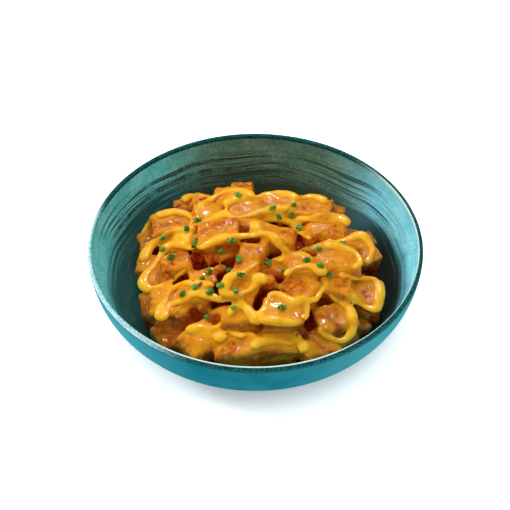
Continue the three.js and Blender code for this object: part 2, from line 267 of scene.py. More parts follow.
# %% The dome and the dice in it, in millimetres
MOUND_X, MOUND_Y, MOUND_RADIUS, MOUND_TOP, MOUND_FALL = 3, -4, 77, 53, 19
CORE_DEPTH, CORE_RADIUS, GAP = 15, 63, 0.6
DIE_WIDTHS = {"large": 25.5, "middling": 20.5, "small": 16.5}
DIE_DEPTH_SHARE, DIE_HEIGHT, DIE_SHORTEST, SIZE_JITTER = 0.86, 23, 9, 0.07
LEAN_SHARE, LEAN_JITTER = 0.7, 7
CUT_STEP, DRAW_IN = 0.5, 0.98
DICE = {
    "large": [
        (-15, 52, 0, 2), (14, 45, 3, 1), (36, 43, -12, 2), (45, 27, -6, -1), (-24, 10, 3, 3),
        (52, -8, 8, 2), (66, 5, 35, 0), (-53, -37, -6, 0), (17, -53, 2, 3), (13, -66, 2, -3),
        (49, -48, 22, -3), (67, -26, -8, -1), (-34, -65, 42, -1), (-53, -57, 32, -3),
        (39, -66, 24, -4), (-13, -67, 4, -4), (-54, 32, 8, 1),
    ],
    "middling": [
        (15, 6, -14, 3), (-50, -8, 10, 1), (-30, 35, 8, 2), (-6, 37, -3, 2), (29, -17, 6, 0),
        (-8, -35, -24, 2), (-37, -34, 8, 0), (27, -32, -30, -2), (-11, -53, 4, 0),
        (-66, 25, 14, -4), (-66, 2, -6, -4), (-62, -31, 12, -4), (-37, -44, 20, -9),
    ],
    "small": [
        (-21, 0, 0, -3), (-2, -8, -8, 2), (-9, 64, 0, 3), (-46, 58, 10, -2), (-33, 56, -14, -1),
        (50, 46, -20, 0), (58, 24, -10, -4), (-7, 22, 4, -1), (5, 10, -10, 3), (-6, -22, -15, 1),
        (51, -28, -8, 0), (65, -45, 28, -7), (56, -56, 30, -8), (-33, -22, 12, -3),
        (13, -17, 10, -5), (69, 25, 20, -4), (-63, -14, -6, -3),
    ],
}


def mound_height(x, y):
    share = math.hypot(x - MOUND_X, y - MOUND_Y) / MOUND_RADIUS
    return MOUND_TOP - MOUND_FALL * share * share


def clears_the_glaze(die):
    for u, v, w in itertools.product((-0.5, 0.5), (-0.5, 0.5), (0, -1)):
        reach = Vector((u * die["width"], v * die["depth"], w * die["height"]))
        corner = die["top"] + die["pose"] @ reach
        if corner.z <= glaze_height(math.hypot(corner.x, corner.y)) + GAP:
            return False
    return True


def lay_die(n, kind, x, y, turn, lift):
    width = DIE_WIDTHS[kind] * (1 + around(n, SIZE_JITTER))
    depth = width * DIE_DEPTH_SHARE * (1 + around(n + 1, SIZE_JITTER))
    outward = math.hypot(x - MOUND_X, y - MOUND_Y) / MOUND_RADIUS
    slope = 2 * MOUND_FALL / MOUND_RADIUS**2 * LEAN_SHARE * (1 - outward**2)
    uphill = Vector((slope * (x - MOUND_X), slope * (y - MOUND_Y), 1))
    lean = Vector((0, 0, 1)).rotation_difference(uphill)
    rock = Quaternion((1, 0, 0), math.radians(around(n + 2, LEAN_JITTER)))
    rock @= Quaternion((0, 1, 0), math.radians(around(n + 3, LEAN_JITTER)))
    rock @= Quaternion((0, 0, 1), math.radians(turn))
    top = Vector((x, y, mound_height(x, y) + lift))
    die = dict(top=top, pose=lean @ rock, width=width, depth=depth, height=DIE_HEIGHT)
    while not clears_the_glaze(die) and die["height"] > DIE_SHORTEST:
        die["height"] -= CUT_STEP
    while not clears_the_glaze(die):
        top.x *= DRAW_IN
        top.y *= DRAW_IN
    return die


laid = []
for kind, rows in DICE.items():
    for row in rows:
        laid.append(lay_die(10 * len(laid), kind, *row))
print(len(laid), "dice laid, the lowest top at", round(min(d["top"].z for d in laid), 1), "mm")

# %% [markdown]
# ## Cutting the dice
# A potato die starts as a cube. A knife leaves its faces nearly flat and its edges crisp, and
# frying rounds the edges and puckers the faces. So a cube gets bevelled edges, its faces are
# subdivided, and the points are pushed about a little and smoothed. A few different dice are
# modelled, and each die of the mound is a copy of one of them, stretched to its own size.

# %% Model four dice by hand
def cut_die(seed):
    bpy.ops.object.select_all(action="DESELECT")
    bpy.ops.mesh.primitive_cube_add(size=1, location=(0, 0, -0.5))
    switch_to("EDIT")
    bpy.ops.mesh.bevel(offset=0.07, segments=2, affect="EDGES")
    bpy.ops.mesh.subdivide(number_cuts=2)
    bpy.ops.transform.vertex_random(offset=0.035, uniform=0.4, normal=0.6, seed=seed)
    bpy.ops.mesh.vertices_smooth(factor=0.5, repeat=2)
    switch_to("OBJECT")
    return finish_piece(bpy.context.object, f"die_{seed}")


die_models = [cut_die(seed) for seed in (3, 11, 24, 37)]


# %% Copy them into the mound
def place_copy(model, matrix, name):
    piece = bpy.data.objects.new(name, model.data.copy())
    bpy.context.collection.objects.link(piece)
    piece.data.transform(matrix)
    return piece


def place_die(i, die):
    turn = die["pose"].to_matrix().to_4x4()
    size = stretch(die["width"], die["depth"], die["height"])
    matrix = Matrix.Scale(MM, 4) @ Matrix.Translation(die["top"]) @ turn @ size
    return place_copy(die_models[i % len(die_models)], matrix, f"laid_die_{i}")


dice = [place_die(i, die) for i, die in enumerate(laid)]
print(len(dice), "dice placed")

# %% [markdown]
# ## The mound
# In the real dish a brown-orange sauce clings to the dice and fills the narrow gaps between
# them, so they look fused at their feet and separate at their tops. The dice are joined with a
# hidden bed that fills the middle, and all of it is rebuilt as one skin of small even faces.
# Blowing the skin up a little, rebuilding it and drawing it in again closes narrow gaps and
# rounds inner corners, as the sauce does, and leaves the outer corners nearly as they were.

# %% The hidden bed under the dice
BED_STEPS, BED_TURNS, BED_RISE = 10, 48, 2
bed_reach = [CORE_RADIUS * step / BED_STEPS for step in range(1, BED_STEPS + 1)]
bed_section = [(r, glaze_height(r + math.hypot(MOUND_X, MOUND_Y)) + GAP) for r in bed_reach]
for r in reversed(bed_reach):
    bed_section.append((r, mound_height(MOUND_X + r, MOUND_Y) - CORE_DEPTH + BED_RISE))
bed = grow_rings(bed_section, BED_TURNS)
bed.data.transform(Matrix.Translation((MOUND_X * MM, MOUND_Y * MM, 0)))
print("bed of", len(bed_section), "rings")

# %% Crumbled bits between the dice, spread as seeds lie in a sunflower
BIT_COUNT, BIT_SIZES, BIT_REACH, BIT_RISE, BIT_WANDER = 90, (5, 10), 66, 3, 4
SUNFLOWER_TURN = 2.4


def between(low, high, n):
    return low + (high - low) * draw(n)


def any_turn(n, m, k, upward):
    axis = (draw(n), draw(m), upward)
    return Quaternion(axis, 6 * draw(k)).to_matrix().to_4x4()


def drop_bit(n):
    angle, out = SUNFLOWER_TURN * n, BIT_REACH * math.sqrt((n + 0.5) / BIT_COUNT)
    x = MOUND_X + out * math.cos(angle) + around(7000 + n, BIT_WANDER)
    y = MOUND_Y + out * math.sin(angle) + around(7100 + n, BIT_WANDER)
    size = between(*BIT_SIZES, 7200 + n)
    on_bed = mound_height(x, y) - CORE_DEPTH + BIT_RISE
    place = Matrix.Translation((x, y, on_bed + size / 2))
    turn = any_turn(7300 + n, 7400 + n, 7500 + n, 0.4)
    matrix = Matrix.Scale(MM, 4) @ place @ turn @ stretch(size, size * 0.8, size * 0.7)
    return place_copy(die_models[n % len(die_models)], matrix, f"bit_{n}")


bits = [drop_bit(n) for n in range(BIT_COUNT)]
print(len(bits), "bits dropped")

# %% Fuse bed, dice and bits into one skin
potato = join([bed, *dice, *bits])


def rebuild(piece, size):
    add_and_apply(piece, "REMESH", mode="VOXEL", voxel_size=size, adaptivity=0)


def blow_up(piece, reach, **settings):
    add_and_apply(piece, "DISPLACE", strength=reach, mid_level=0, direction="NORMAL", **settings)


def close_gaps(piece, reach, fine):
    rebuild(piece, 1.2 * fine)
    blow_up(piece, reach)
    rebuild(piece, 1.1 * fine)
    blow_up(piece, -reach)
    rebuild(piece, fine)


def roughen(piece, name, size, strength):
    pattern = bpy.data.textures.new(name, "CLOUDS")
    pattern.noise_scale = size
    pattern.noise_depth = 2
    add_and_apply(piece, "DISPLACE", texture=pattern, texture_coords="LOCAL", strength=strength,
                  mid_level=0.5, direction="NORMAL")


close_gaps(potato, reach=1.2 * MM, fine=0.92 * MM)
add_and_apply(potato, "SMOOTH", factor=0.5, iterations=2)
roughen(potato, "soft_dents", size=7 * MM, strength=2.2 * MM)
roughen(potato, "fine_crust", size=2.4 * MM, strength=0.8 * MM)
potato = finish_piece(potato, "potato_dice")
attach(potato, "root")
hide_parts("potato_heap")
for model in die_models:
    bpy.data.objects.remove(model)

# %% [markdown]
# ## Feeling the surface from above
# Sauce is poured from above and herbs fall from above, so both need to know how high the mound
# is at a place. A ray that drops straight down on the finished skin tells that.

# %% A probe that finds the top of a piece
WELL_ABOVE, NOTHING_THERE = 0.2, 25


def tree_of(piece):
    bpy.context.view_layer.update()
    return BVHTree.FromObject(piece, bpy.context.evaluated_depsgraph_get())


def touch(tree, x, y, otherwise=NOTHING_THERE):
    """Height of the piece at a place of the plan, in millimetres, and the way it faces there."""
    place, normal, *_ = tree.ray_cast(Vector((x * MM, y * MM, WELL_ABOVE)), Vector((0, 0, -1)))
    if place is None or place.z < 0:
        return otherwise, Vector((0, 0, 1))
    return place.z / MM, normal


potato_tree = tree_of(potato)
print("height near the crown", round(touch(potato_tree, 9, 17)[0], 1), "mm")

# %% [markdown]
# ## The cheese sauce
# The sauce leaves the bottle as a thick round thread, lands on the dice, flattens, hangs over
# their edges and bridges the narrow gaps. Each pass of the bottle is a curve through a few
# bends. Its height follows the dice, but it is closed over narrow gaps and smoothed, as a thick
# sauce would be. An oval section swept along the curve gives the thread, thicker and thinner on
# its way. Where many threads meet, one rebuilt skin makes them flow together.

# %% The passes of the bottle, seen from above in millimetres
TRAILS = [
    [(-36, 37), (-31, 44), (-24, 52), (-16, 56), (-7, 54), (-1, 50)],
    [(-20, 37), (-15, 41), (-7, 44), (0, 47), (6, 51), (14, 52), (22, 50), (28, 46)],
    [
        (-40, 22), (-34, 25), (-28, 27), (-23, 29), (-19, 31), (-12, 25), (-3, 28), (6, 33),
        (13, 36), (20, 37), (24, 43), (29, 48), (36, 51), (42, 49), (47, 45),
    ],
    [(-74, 28), (-70, 35), (-66, 38), (-60, 39), (-52, 41), (-44, 39), (-40, 33), (-41, 27)],
    [(26, 32), (32, 30), (39, 31), (48, 33), (56, 32), (59, 26)],
    [(1, 5), (0, 14), (3, 27), (9, 29), (16, 30), (23, 30), (28, 24), (32, 15), (35, 10)],
    [(-71, 1), (-69, 12), (-64, 19), (-59, 21), (-53, 23), (-46, 24), (-37, 24)],
    [
        (0, 4), (-10, 3), (-17, 2), (-25, 1), (-30, -1), (-33, -3), (-40, 10), (-48, 13),
        (-54, 13), (-58, 9), (-62, 1), (-66, -7), (-69, -13), (-70, -19), (-66, -24), (-59, -23),
        (-52, -19), (-48, -16), (-43, -15),
    ],
    [(-61, 14), (-56, 20), (-50, 21), (-43, 18), (-40, 12)],
    [
        (-3, 2), (4, 4), (10, 2), (15, -2), (22, -5), (28, 5), (35, 9), (42, 11), (48, 14),
        (51, 15),
    ],
    [(42, 0), (49, 2), (56, 0), (62, -3), (65, -8), (64, -14), (59, -17)],
    [(51, 12), (57, 12), (63, 16), (67, 18), (71, 14), (74, 7), (72, 0), (69, -5)],
    [(10, -12), (15, -11), (22, -9), (28, -7), (33, -12), (34, -17)],
    [(18, -28), (21, -24), (26, -21), (33, -19), (39, -22), (44, -25)],
    [(-58, -53), (-58, -45), (-55, -37), (-52, -30), (-45, -28), (-34, -30), (-25, -32)],
    [
        (-58, -53), (-55, -49), (-50, -41), (-44, -41), (-37, -37), (-28, -40), (-21, -43),
        (-12, -43), (-6, -49), (-1, -58), (3, -62),
    ],
    [
        (2, -18), (-3, -23), (-9, -29), (-15, -31), (-18, -36), (-19, -42), (-12, -43), (-6, -41),
        (-1, -37), (0, -32), (3, -30), (6, -35),
    ],
    [
        (0, -60), (4, -55), (7, -49), (10, -41), (15, -42), (22, -47), (30, -43), (37, -41),
        (40, -34), (44, -28),
    ],
    [
        (41, -23), (44, -29), (47, -34), (53, -38), (58, -43), (59, -53), (58, -59), (53, -64),
        (48, -64), (42, -61), (39, -57),
    ],
    [(3, -64), (7, -62), (15, -62), (25, -62), (30, -56), (31, -45)],
    [(-41, -63), (-39, -60), (-34, -58), (-26, -59), (-21, -58), (-16, -54), (-11, -47)],
    [(-25, -68), (-21, -65), (-15, -62), (-9, -65), (-3, -64), (1, -70)],
    [(-1, -76), (0, -72), (4, -70), (13, -69), (21, -70), (25, -68)],
    [(24, -62), (25, -66), (29, -71), (30, -76)],
    [(-48, 59), (-44, 63), (-38, 61), (-32, 58), (-28, 56)],
    [
        (51, -21), (56, -21), (66, -18), (74, -18), (77, -24), (76, -35), (74, -42), (68, -39),
        (63, -36), (58, -34), (54, -34),
    ],
]
ROPE_RADIUS, ROPE_FLATNESS, ROPE_REACH, ROPE_RISE = 3.2, 0.55, 8, 0.15


# %% A smooth path through the bends
SPACING, PARTS_PER_BEND, EASE = 1.5, 16, 3


def through_bends(bends, spacing):
    """Evenly spaced points on a centripetal Catmull-Rom curve through the bends."""
    p = [np.array(b, dtype=float) for b in bends]
    p = [2 * p[0] - p[1], *p, 2 * p[-1] - p[-2]]
    fine = []
    for a, b, c, d in zip(p, p[1:], p[2:], p[3:]):
        t0 = 0
        t1 = t0 + math.sqrt(np.linalg.norm(b - a))
        t2 = t1 + math.sqrt(np.linalg.norm(c - b))
        t3 = t2 + math.sqrt(np.linalg.norm(d - c))
        for t in np.linspace(t1, t2, PARTS_PER_BEND, endpoint=False):
            ab = a + (b - a) * (t - t0) / (t1 - t0)
            bc = b + (c - b) * (t - t1) / (t2 - t1)
            cd = c + (d - c) * (t - t2) / (t3 - t2)
            abc = ab + (bc - ab) * (t - t0) / (t2 - t0)
            bcd = bc + (cd - bc) * (t - t1) / (t3 - t1)
            fine.append(abc + (bcd - abc) * (t - t1) / (t2 - t1))
    fine = np.array([*fine, p[-2]])
    run = np.concatenate([[0], np.cumsum(np.linalg.norm(np.diff(fine, axis=0), axis=1))])
    at = np.linspace(0, run[-1], max(4, int(run[-1] / spacing)) + 1)
    return np.column_stack([np.interp(at, run, fine[:, k]) for k in (0, 1)])


def drape(plan, tree, spacing):
    """Heights along the path: up over what it meets, straight over gaps narrower than its reach."""
    ground = np.array([touch(tree, x, y)[0] for x, y in plan])
    reach = round(ROPE_REACH / spacing)
    count = len(ground)
    high = [ground[max(0, i - reach): i + reach + 1].max() for i in range(count)]
    closed = [min(high[max(0, i - reach): i + reach + 1]) for i in range(count)]
    smooth = [np.mean(closed[max(0, i - EASE): i + EASE + 1]) for i in range(count)]
    over_glaze = [glaze_height(math.hypot(x, y) + ROPE_RADIUS) + ROPE_RADIUS for x, y in plan]
    return np.maximum(smooth, over_glaze)


print("first pass has", len(through_bends(TRAILS[0], SPACING)), "points")

# %% Sweep an oval section along every pass
bpy.ops.object.select_all(action="DESELECT")
bpy.ops.curve.primitive_nurbs_circle_add(radius=1)
oval = bpy.context.object
oval.scale = (1, ROPE_FLATNESS, 1)
SWELL, SWELL_PACE, SWELL_JITTER = 0.28, 0.24, 0.05
TIP_SHARE, TIP_GROWTH = 0.55, 0.25


def pour(number, bends):
    plan = through_bends(bends, SPACING)
    heights = drape(plan, potato_tree, SPACING) + ROPE_RISE * ROPE_RADIUS
    thread = bpy.data.curves.new(f"pass_{number}", "CURVE")
    thread.dimensions = "3D"
    thread.twist_mode = "Z_UP"
    thread.bevel_mode = "OBJECT"
    thread.bevel_object = oval
    thread.use_fill_caps = True
    spline = thread.splines.new("POLY")
    spline.points.add(len(plan) - 1)
    last = len(plan) - 1
    for i, ((x, y), z) in enumerate(zip(plan, heights)):
        swell = 1 + SWELL * math.sin(i * SWELL_PACE + 9 * draw(number))
        swell += around(900 + 50 * number + i, SWELL_JITTER)
        tip = min(1, TIP_SHARE + TIP_GROWTH * min(i, last - i))
        spline.points[i].co = (x * MM, y * MM, z * MM, 1)
        spline.points[i].radius = ROPE_RADIUS * MM * swell * tip
    piece = bpy.data.objects.new(f"pass_{number}", thread)
    bpy.context.collection.objects.link(piece)
    return piece


threads = [pour(number, bends) for number, bends in enumerate(TRAILS)]
select_only(*threads)
bpy.ops.object.convert(target="MESH")
bpy.data.objects.remove(oval)
print(len(threads), "threads of sauce")

# %% [markdown]
# ## Pools of sauce
# On some dice the sauce has run out flat between two threads and coats the whole top. Each such
# pool is a ball pressed flat, laid on the die the way the die leans.

# %% Press balls flat into pools
POOLS = [
    (-15, 51, 9, 5), (-30, 34, 10, 7), (-6, 40, 8, 4), (14, 48, 9, 4), (45, 28, 12, 4),
    (-50, 21, 6, 4), (53, -2, 10, 6), (17, -54, 12, 8), (12, -66, 12, 5), (-34, -64, 8, 8),
    (-11, -64, 7, 3), (41, -24, 6, 6), (4, 12, 6, 6), (50, -11, 8, 5), (-54, -26, 4, 5),
    (28, -15, 7, 3),
]
POOL_THICKNESS, POOL_LIFT, POOL_LEVELLING = 1.1, 0.1, 0.3


def pool(x, y, across, gap_shade_red):
    height, facing = touch(potato_tree, x, y)
    bpy.ops.object.select_all(action="DESELECT")
    bpy.ops.mesh.primitive_uv_sphere_add(segments=24, ring_count=12, radius=MM)
    piece = bpy.context.object
    facing = facing.lerp(Vector((0, 0, 1)), POOL_LEVELLING).normalized()
    turn = Vector((0, 0, 1)).rotation_difference(facing).to_matrix().to_4x4()
    place = Matrix.Translation(Vector((x, y, height + POOL_LIFT)) * MM)
    piece.data.transform(place @ turn @ stretch(across, gap_shade_red, POOL_THICKNESS))
    return piece


pools = [pool(*row) for row in POOLS]
cheese = join(threads + pools)
close_gaps(cheese, reach=0.8 * MM, fine=0.6 * MM)
add_and_apply(cheese, "SMOOTH", factor=0.5, iterations=8)
roughen(cheese, "slow_waves", size=9 * MM, strength=0.9 * MM)
cheese = finish_piece(cheese, "cheese_sauce")
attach(cheese, "root")
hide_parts("potato_heap")

# %% [markdown]
# ## Where sauce meets potato
# Thick sauce doesn't lie on a die like a rope on a table: it runs out thin at its edge and melts
# into the film on the die. So the skin of the potato is raised a little next to the threads. A
# vertex group says how near each point lies to the sauce, and a Displace modifier that reads the
# group lifts those points, which makes a soft fillet along every thread.

# %% Raise the film next to the sauce
FILM_REACH, FILM_RISE, FILM_CURVE = 4, 0.9, 1.5


def nearness(piece, tree, reach):
    found = []
    for x, y, z in points_of(piece):
        distance = tree.find_nearest(Vector((x, y, z)), reach)[3]
        found.append(reach if distance is None else distance)
    return 1 - np.array(found) / reach


cheese_tree = tree_of(cheese)
near_sauce = potato.vertex_groups.new(name="near_sauce")
for point, share in enumerate(nearness(potato, cheese_tree, FILM_REACH * MM)):
    if share > 0:
        near_sauce.add([point], float(share) ** FILM_CURVE, "REPLACE")
blow_up(potato, FILM_RISE * MM, vertex_group="near_sauce")
add_and_apply(potato, "SMOOTH", factor=0.5, iterations=2, vertex_group="near_sauce")
potato_tree = tree_of(potato)
print("film raised by up to", FILM_RISE, "mm")

# %% [markdown]
# ## Chives
# A chive is a thin hollow leaf, snipped into short rings and tubes. One snip is modelled: a
# cylinder whose two ends are inset and pushed in, so that the tube looks hollow. Copies of it
# lie where they fell, each tilted as the surface under it is.

# %% Model one snip of chive
bpy.ops.object.select_all(action="DESELECT")
bpy.ops.mesh.primitive_cylinder_add(vertices=14, radius=1, depth=1, end_fill_type="NGON")
switch_to("EDIT")
bpy.ops.mesh.select_all(action="DESELECT")
switch_to("OBJECT")
snip = bpy.context.object
for face in snip.data.polygons:
    face.select = abs(face.normal.z) > 0.9
switch_to("EDIT")
bpy.ops.mesh.select_mode(type="FACE")
bpy.ops.mesh.inset(thickness=0.3, use_individual=True)
bpy.ops.mesh.extrude_faces_move(
    MESH_OT_extrude_faces_indiv={}, TRANSFORM_OT_shrink_fatten={"value": -0.3}
)
bpy.ops.mesh.select_mode(type="VERT")
switch_to("OBJECT")
print("snip has", len(snip.data.polygons), "faces")

# %% Scatter the snips
CHIVES = [
    (-59, 19), (-59, 9), (-44, 23), (-37, 25), (-37, 10), (-15, -1), (-22, -3), (-38, 3),
    (-10, -16), (-53, -6), (-29, -19), (24, 40), (11, 34), (15, 29), (23, 33), (28, 23), (7, -14),
    (19, -21), (32, -15), (40, -3), (55, 9), (46, -22), (40, -21), (-33, -27), (-37, -34),
    (-44, -38), (-28, -39), (-21, -38), (-12, -42), (-9, -31), (-13, -51), (-29, -49), (16, -53),
    (-11, 44), (-16, -11),
]
CHIVE_RADIUS, CHIVE_LENGTHS, CHIVE_JITTER = 1.35, (3.2, 5.2), 0.15
CHIVE_TILT, CHIVE_LIFT, CHIVE_SQUASH = 0.5, 0.75, 0.8


def top_of_all(x, y):
    found = [touch(tree, x, y, otherwise=0) for tree in (potato_tree, cheese_tree)]
    return max(found, key=lambda height_and_facing: height_and_facing[0])


def drop_snip(i, x, y):
    height, facing = top_of_all(x, y)
    length = between(*CHIVE_LENGTHS, 3000 + i)
    along = Vector((1, 0, 0))
    along.rotate(Quaternion((0, 0, 1), math.pi * draw(3100 + i)))
    along = (along - facing * along.dot(facing)).normalized()
    along = (along + facing * around(3200 + i, CHIVE_TILT)).normalized()
    turn = along.to_track_quat("Z", "Y").to_matrix().to_4x4()
    radius = CHIVE_RADIUS * (1 + around(3300 + i, CHIVE_JITTER))
    place = Matrix.Translation((Vector((x, y, height)) + facing * radius * CHIVE_LIFT) * MM)
    size = stretch(radius * MM, radius * CHIVE_SQUASH * MM, length * MM)
    return place_copy(snip, place @ turn @ size, f"snip_{i}")


snips = [drop_snip(i, x, y) for i, (x, y) in enumerate(CHIVES)]
chives = finish_piece(join(snips), "chive_snips")
bpy.data.objects.remove(snip)
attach(chives, "root")
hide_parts("potato_heap")

# %% [markdown]
# ## Spiced crumbs
# Here and there between the dice lie small orange-red crumbs of spice and pepper. Each is a
# coarse ball pushed out of shape, and there are too many to place by hand, so they fall in a few
# clusters where the real dish shows them.

# %% Model one crumb and drop clusters of them
bpy.ops.object.select_all(action="DESELECT")
bpy.ops.mesh.primitive_ico_sphere_add(subdivisions=2, radius=1)
switch_to("EDIT")
bpy.ops.transform.vertex_random(offset=0.35, uniform=0.3, normal=0.5, seed=5)
switch_to("OBJECT")
crumb = bpy.context.object
CRUMB_CLUSTERS = [
    (-49, 59, 5, 3), (-44, -51, 5, 5), (-36, -23, 9, 6), (21, -30, 7, 6), (54, 18, 9, 5),
    (-56, -17, 7, 3), (25, -64, 5, 3), (52, -25, 6, 4), (-20, -70, 8, 4), (28, 6, 4, 2),
    (50, 46, 5, 4), (-32, 54, 5, 3),
]
CRUMB_SIZES, CRUMB_SINK = (0.8, 1.9), 0.3


def drop_crumb(n, x, y, reach):
    angle, out = 2 * math.pi * draw(n), reach * math.sqrt(draw(n + 1))
    x, y = x + out * math.cos(angle), y + out * math.sin(angle)
    height = top_of_all(x, y)[0]
    if height == 0:
        return []
    size = between(*CRUMB_SIZES, n + 2)
    turn = any_turn(n + 3, n + 4, n + 5, 0.5)
    shape = stretch(size * MM, size * 0.75 * MM, size * 0.6 * MM)
    place = Matrix.Translation(Vector((x, y, height - CRUMB_SINK)) * MM)
    return [place_copy(crumb, place @ turn @ shape, "crumb")]


crumbs = []
for x, y, reach, count in CRUMB_CLUSTERS:
    for k in range(count):
        crumbs += drop_crumb(round(5000 + 37 * x + 61 * y) + 10 * k, x, y, reach)
crumbs = finish_piece(join(crumbs), "spice_crumbs")
bpy.data.objects.remove(crumb)
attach(crumbs, "root")
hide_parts("potato_heap")

# %% [markdown]
# ## Marks that steer the colours
# Colour follows place in this dish. The gaps between dice are dark red: partly sauce, partly
# painted shade. A side gets browner down from its edge, and the foot and outside of the mound are
# brown, both painted shade. The sides are redder than the tops, partly from sauce that ran down
# them and partly as painted shade. The potato is glazed yellow next to the cheese. So each point
# of the skin gets six marks: its drop below the edge over it, how far it is in a wide hollow or a
# narrow crease, how steep it is, how near the cheese is, and how far down or out it is. Most are
# weaker in the front row, which faces the light.
# The cheese gets one mark, for where it is thin. Depth is told from a grid of heights seen from
# above: gaps are bridged in it, and a point deep under the bridge is in a gap.

# %% Measure depth and nearness for every point
def shifted_extreme(levels, steps, pick):
    """The highest or lowest level within some steps of every cell, in a square."""
    for axis in (0, 1):
        start = levels
        for shift in range(1, steps + 1):
            for sign in (1, -1):
                levels = pick(levels, np.roll(start, sign * shift, axis=axis))
    return levels


GRID_MARGIN = 20


def highest_near(points, cell, reach):
    """The highest level within reach, for every cell of a grid seen from above."""
    corner = points[:, :2].min(axis=0) - GRID_MARGIN
    index = np.floor((points[:, :2] - corner) / cell).astype(int)
    top = np.zeros(index.max(axis=0) + int(GRID_MARGIN / cell))
    np.maximum.at(top, (index[:, 0], index[:, 1]), points[:, 2])
    return shifted_extreme(top, int(round(reach / cell)), np.maximum), corner


def read_cells(levels, corner, cell, places):
    asked = np.floor((places[:, :2] - corner) / cell).astype(int)
    return levels[asked[:, 0], asked[:, 1]]


def bridged_levels(points, places, cell, reach):
    """Level over every place, if all gaps up to twice the reach were bridged, seen from above."""
    highest, corner = highest_near(points, cell, reach)
    closed = shifted_extreme(highest, int(round(reach / cell)), np.minimum)
    return read_cells(closed, corner, cell, places)


# %% Marks of depth, in millimetres
COARSE, FINER = 1.5, 0.95
potato_points = points_of(potato) / MM
potato_level = potato_points[:, 2]
facing = np.empty(3 * len(potato_points))
potato.data.vertex_normals.foreach_get("vector", facing)
facing = facing.reshape(-1, 3)
faces_up = facing[:, 2]
in_front = potato_points + 5.5 * facing
just_off = potato_points + 3 * facing
below_wide = bridged_levels(potato_points, in_front, COARSE, 7.5) - potato_level
below_narrow = bridged_levels(potato_points, just_off, FINER, 3.8) - potato_level
highest, corner = highest_near(potato_points, COARSE, 3)
below_edge = read_cells(highest, corner, COARSE, potato_points) - potato_level
front_row = smooth_step(-62, -73, potato_points[:, 1])
weaker = 1 - 0.8 * front_row
# Painted shade: drop darkens a side under its edge, hollow and crease darken the gaps.
paint_points(potato, "drop", smooth_step(2.5, 15, below_edge) * (1 - 0.75 * front_row))
paint_points(potato, "hollow", smooth_step(2, 10, below_wide) * weaker)
paint_points(potato, "crease", smooth_step(0.3, 3.5, below_narrow) * weaker)

# %% Marks of direction, nearness and place
# Steep sides turn redder, partly from sauce that ran down and partly as painted shade.
paint_points(potato, "steep", smooth_step(0.75, 0.2, faces_up))
film_share = 0.25 + 0.75 * smooth_step(-0.2, 0.7, faces_up)
paint_points(potato, "film", nearness(potato, cheese_tree, 10 * MM) * film_share)
from_middle = np.hypot(potato_points[:, 0] - MOUND_X, potato_points[:, 1] - MOUND_Y)
# The foot mark is painted shade, low down and round the outside of the mound.
on_side = smooth_step(0.8, 0.3, faces_up) * smooth_step(50, 68, from_middle)
foot = np.maximum(smooth_step(42, 22, potato_level), on_side)
foot = np.maximum(foot, 0.65 * smooth_step(58, 76, from_middle))
paint_points(potato, "foot", foot * weaker)
paint_points(cheese, "thin", nearness(cheese, potato_tree, 2.2 * MM))

# %% [markdown]
# ## Building finishes from nodes
# Every finish is a small graph: some patterns, some mixes, and one shader. These helpers add one
# node each and wire it, so that a finish reads like a recipe.

# %% Helpers for the finishes
def srgb(r, g, b):
    def straight(v):
        v /= 255
        return v / 12.92 if v <= 0.04045 else ((v + 0.055) / 1.055) ** 2.4

    return (straight(r), straight(g), straight(b), 1)


class Finish:
    def __init__(self, name, **settings):
        self.material = bpy.data.materials.new(name)
        self.material.use_nodes = True
        self.nodes = self.material.node_tree.nodes
        self.links = self.material.node_tree.links
        self.shader = self.nodes["Principled BSDF"]
        for key, value in settings.items():
            self.shader.inputs[key].default_value = value
        self.place = self.nodes.new("ShaderNodeTexCoord").outputs["Object"]

    def wire(self, value, socket):
        if isinstance(value, (int, float, tuple)):
            socket.default_value = value
        else:
            self.links.new(value, socket)

    def add(self, kind, sockets, **settings):
        """Adds a node with its own settings and gives every socket its value or its wire."""
        node = self.nodes.new("ShaderNode" + kind)
        for key, value in settings.items():
            setattr(node, key, value)
        for socket, value in sockets.items():
            self.wire(value, node.inputs[socket])
        return node.outputs

    def mark(self, name):
        return self.add("Attribute", {}, attribute_name=name)["Fac"]

    def speckle(self, size, detail=3, roughness=0.55, place=None):
        sockets = {"Scale": 1 / size, "Detail": detail, "Roughness": roughness}
        return self.add("TexNoise", {**sockets, "Vector": place or self.place})["Fac"]

    def spread(self, value, low, high, to_low=0, to_high=1):
        sockets = {"From Min": low, "From Max": high, "To Min": to_low, "To Max": to_high}
        kind = {"interpolation_type": "SMOOTHSTEP"}
        return self.add("MapRange", {**sockets, "Value": value}, **kind)["Result"]

    def maths(self, kind, a, b):
        return self.add("Math", {0: a, 1: b}, operation=kind)[0]

    def product(self, result, *factors):
        for factor in factors:
            result = self.maths("MULTIPLY", result, factor)
        return result

    def centred(self, pattern, size):
        """The pattern moved to lie around zero, as wide as the size."""
        return self.product(self.maths("SUBTRACT", pattern, 0.5), size)

    def vector(self, *parts):
        return self.add("CombineXYZ", dict(enumerate(parts)))[0]

    def length(self, vector):
        return self.add("VectorMath", {0: vector}, operation="LENGTH")["Value"]

    def mix(self, share, a, b):
        sockets = {"Factor": share, "A": a, "B": b}
        return self.add("Mix", sockets, data_type="RGBA")["Result"]

    def layered(self, colour, *coats):
        """Lays coats over a colour, each with the share of it that shows."""
        for share, coat in coats:
            colour = self.mix(share, colour, coat)
        return colour

    def bump(self, height, depth, strength, over=None):
        sockets = {"Strength": strength, "Distance": depth, "Height": height}
        if over is not None:
            sockets["Normal"] = over
        return self.add("Bump", sockets)["Normal"]

    def done(self, piece, colour, roughness=None, normal=None):
        self.links.new(colour, self.shader.inputs["Base Color"])
        if roughness is not None:
            self.wire(roughness, self.shader.inputs["Roughness"])
        if normal is not None:
            self.links.new(normal, self.shader.inputs["Normal"])
        piece.data.materials.clear()
        piece.data.materials.append(self.material)
        print(self.material.name, "has", len(self.nodes), "nodes")


